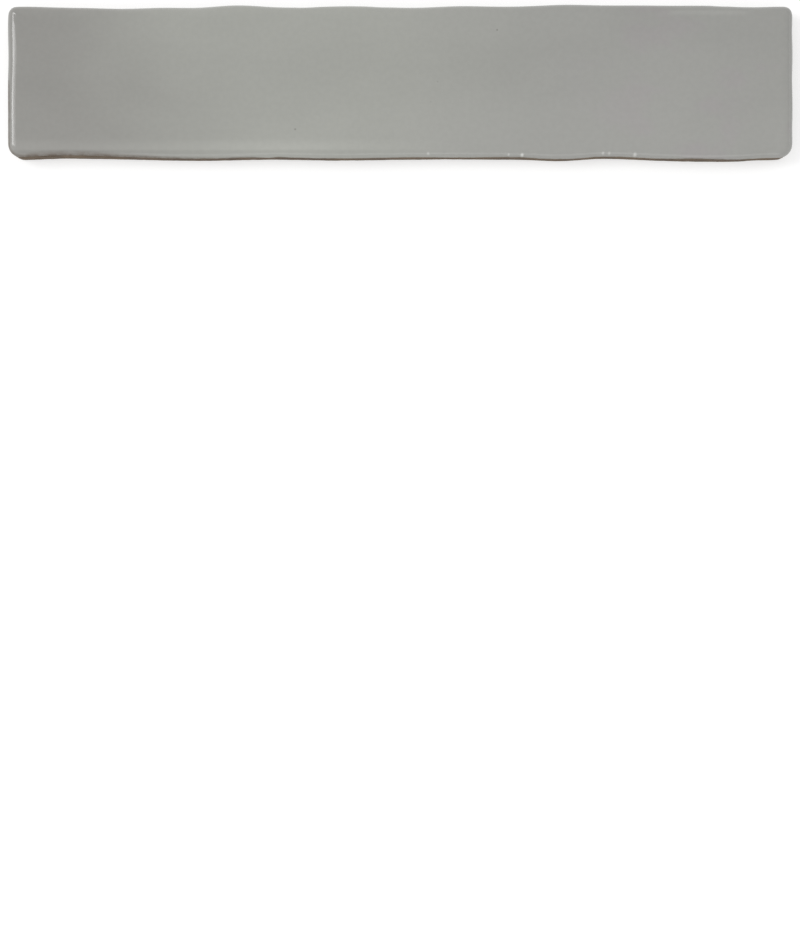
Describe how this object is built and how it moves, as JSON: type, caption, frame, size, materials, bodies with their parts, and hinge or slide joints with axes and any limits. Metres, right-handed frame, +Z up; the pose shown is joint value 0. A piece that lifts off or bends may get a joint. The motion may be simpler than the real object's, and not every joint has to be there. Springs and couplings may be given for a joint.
{
  "type": "glazed ceramic wall tile",
  "caption": "Long narrow glazed wall tile with a softly rolling glossy grey face, uneven rounded edges and a keyed clay back.",
  "frame": {"origin": "middle of the underside, on the plane that the back's ribs lie on", "axes": "+X along the tile's length, +Y across it towards the far long side, +Z up out of the glazed face"},
  "size_m": [0.2502, 0.0495, 0.0087],
  "materials": {
    "glazed_clay": "gloss"
  },
  "bodies": {
    "root": {"tile": "glazed_clay"}
  },
  "joints": []
}
